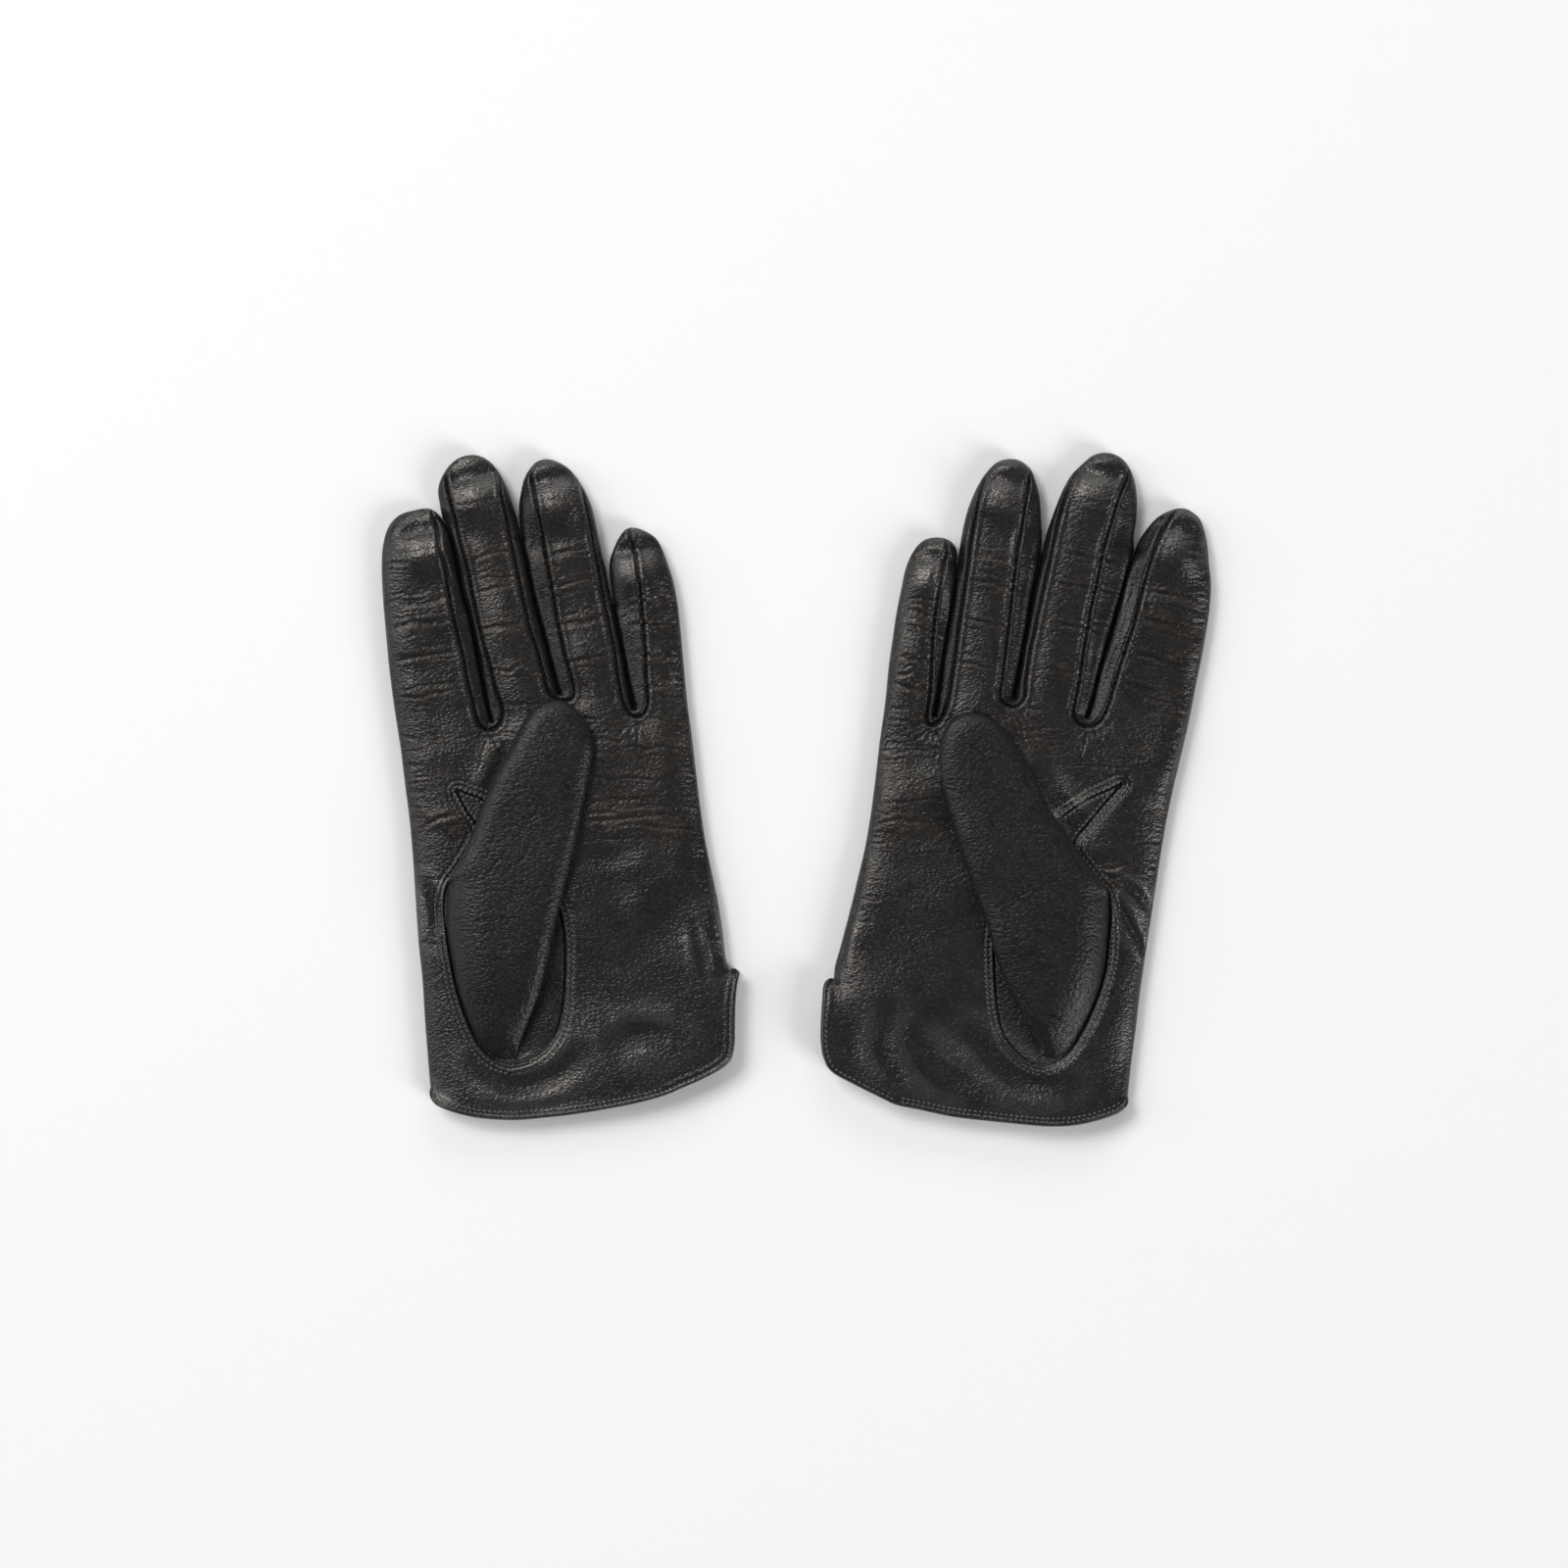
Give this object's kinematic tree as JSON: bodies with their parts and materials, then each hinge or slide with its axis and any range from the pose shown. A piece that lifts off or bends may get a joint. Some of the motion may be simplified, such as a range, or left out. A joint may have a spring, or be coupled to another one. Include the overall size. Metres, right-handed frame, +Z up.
{
  "type": "leather gloves",
  "caption": "Pair of short leather gloves lying palm up, with sewn fingers, set-in thumbs and bound, vented cuffs; fingers and thumbs bend.",
  "frame": {"origin": "middle of the pair's box, on the surface that the gloves lie on", "axes": "+X from the left glove to the right glove, +Y towards the fingertips, +Z up, out of the palms"},
  "size_m": [0.2709, 0.2199, 0.016],
  "materials": {
    "trank_leather": "black nappa, satin, creased",
    "fourchette_leather": "black nappa, satin",
    "thumb_leather": "black nappa, satin, smooth",
    "binding": "black nappa, rolled edge",
    "thread": "black sewing thread"
  },
  "bodies": {
    "left_hand": {"left_back_panel": "trank_leather", "left_crotch_index_middle": "fourchette_leather", "left_crotch_middle_ring": "fourchette_leather", "left_crotch_ring_little": "fourchette_leather", "left_cuff_binding": "binding", "left_cuff_thread_lower": "thread", "left_cuff_thread_upper": "thread", "left_palm_panel": "trank_leather", "left_quirk_gusset": "thumb_leather", "left_thumb_gusset": "thumb_leather", "left_thumb_thread_inner": "thread", "left_thumb_thread_outer": "thread", "left_vent_binding": "binding"},
    "left_thumb": {"left_thumb_back": "thumb_leather", "left_thumb_front": "thumb_leather"},
    "left_index": {"left_index_back": "trank_leather", "left_index_fourchette": "fourchette_leather", "left_index_front": "trank_leather"},
    "left_middle": {"left_middle_back": "trank_leather", "left_middle_fourchette_index_side": "fourchette_leather", "left_middle_fourchette_ring_side": "fourchette_leather", "left_middle_front": "trank_leather"},
    "left_ring": {"left_ring_back": "trank_leather", "left_ring_fourchette_little_side": "fourchette_leather", "left_ring_fourchette_middle_side": "fourchette_leather", "left_ring_front": "trank_leather"},
    "left_little": {"left_little_back": "trank_leather", "left_little_fourchette": "fourchette_leather", "left_little_front": "trank_leather"},
    "right_hand": {"right_back_panel": "trank_leather", "right_crotch_index_middle": "fourchette_leather", "right_crotch_middle_ring": "fourchette_leather", "right_crotch_ring_little": "fourchette_leather", "right_cuff_binding": "binding", "right_cuff_thread_lower": "thread", "right_cuff_thread_upper": "thread", "right_palm_panel": "trank_leather", "right_quirk_gusset": "thumb_leather", "right_thumb_gusset": "thumb_leather", "right_thumb_thread_inner": "thread", "right_thumb_thread_outer": "thread", "right_vent_binding": "binding"},
    "right_thumb": {"right_thumb_back": "thumb_leather", "right_thumb_front": "thumb_leather"},
    "right_index": {"right_index_back": "trank_leather", "right_index_fourchette": "fourchette_leather", "right_index_front": "trank_leather"},
    "right_middle": {"right_middle_back": "trank_leather", "right_middle_fourchette_index_side": "fourchette_leather", "right_middle_fourchette_ring_side": "fourchette_leather", "right_middle_front": "trank_leather"},
    "right_ring": {"right_ring_back": "trank_leather", "right_ring_fourchette_little_side": "fourchette_leather", "right_ring_fourchette_middle_side": "fourchette_leather", "right_ring_front": "trank_leather"},
    "right_little": {"right_little_back": "trank_leather", "right_little_fourchette": "fourchette_leather", "right_little_front": "trank_leather"}
  },
  "joints": [
    {"name": "left_index_flex", "type": "hinge", "parent": "left_hand", "child": "left_index", "pos_m": [-0.1163, 0.0266, 0.0082], "axis": [0.9899, 0.1416, 0], "range_deg": [0, 80]},
    {"name": "left_middle_flex", "type": "hinge", "parent": "left_hand", "child": "left_middle", "pos_m": [-0.0882, 0.0342, 0.0082], "axis": [0.9779, 0.209, 0], "range_deg": [0, 80]},
    {"name": "left_ring_flex", "type": "hinge", "parent": "left_hand", "child": "left_ring", "pos_m": [-0.0651, 0.0368, 0.0082], "axis": [0.9781, 0.208, 0], "range_deg": [0, 80]},
    {"name": "left_little_flex", "type": "hinge", "parent": "left_hand", "child": "left_little", "pos_m": [-0.0434, 0.0298, 0.0082], "axis": [0.9884, 0.1521, 0], "range_deg": [0, 80]},
    {"name": "left_thumb_swing", "type": "hinge", "parent": "left_hand", "child": "left_thumb", "pos_m": [-0.1024, -0.0586, 0.0082], "axis": [0.3237, -0.9462, 0], "range_deg": [0, 85]},
    {"name": "right_index_flex", "type": "hinge", "parent": "right_hand", "child": "right_index", "pos_m": [0.1122, 0.0266, 0.0082], "axis": [0.9798, -0.2, 0], "range_deg": [0, 80]},
    {"name": "right_middle_flex", "type": "hinge", "parent": "right_hand", "child": "right_middle", "pos_m": [0.0843, 0.0326, 0.0082], "axis": [0.9779, -0.209, 0], "range_deg": [0, 80]},
    {"name": "right_ring_flex", "type": "hinge", "parent": "right_hand", "child": "right_ring", "pos_m": [0.059, 0.0346, 0.0082], "axis": [0.979, -0.204, 0], "range_deg": [0, 80]},
    {"name": "right_little_flex", "type": "hinge", "parent": "right_hand", "child": "right_little", "pos_m": [0.0373, 0.0282, 0.0082], "axis": [0.9851, -0.172, 0], "range_deg": [0, 80]},
    {"name": "right_thumb_swing", "type": "hinge", "parent": "right_hand", "child": "right_thumb", "pos_m": [0.09215, -0.0586, 0.0082], "axis": [0.2882, 0.9576, 0], "range_deg": [0, 85]},
    {"name": "right_glove_lift", "type": "slide", "parent": "left_hand", "child": "right_hand", "axis": [0, 0, 1], "range_m": [0, 0.12]}
  ]
}
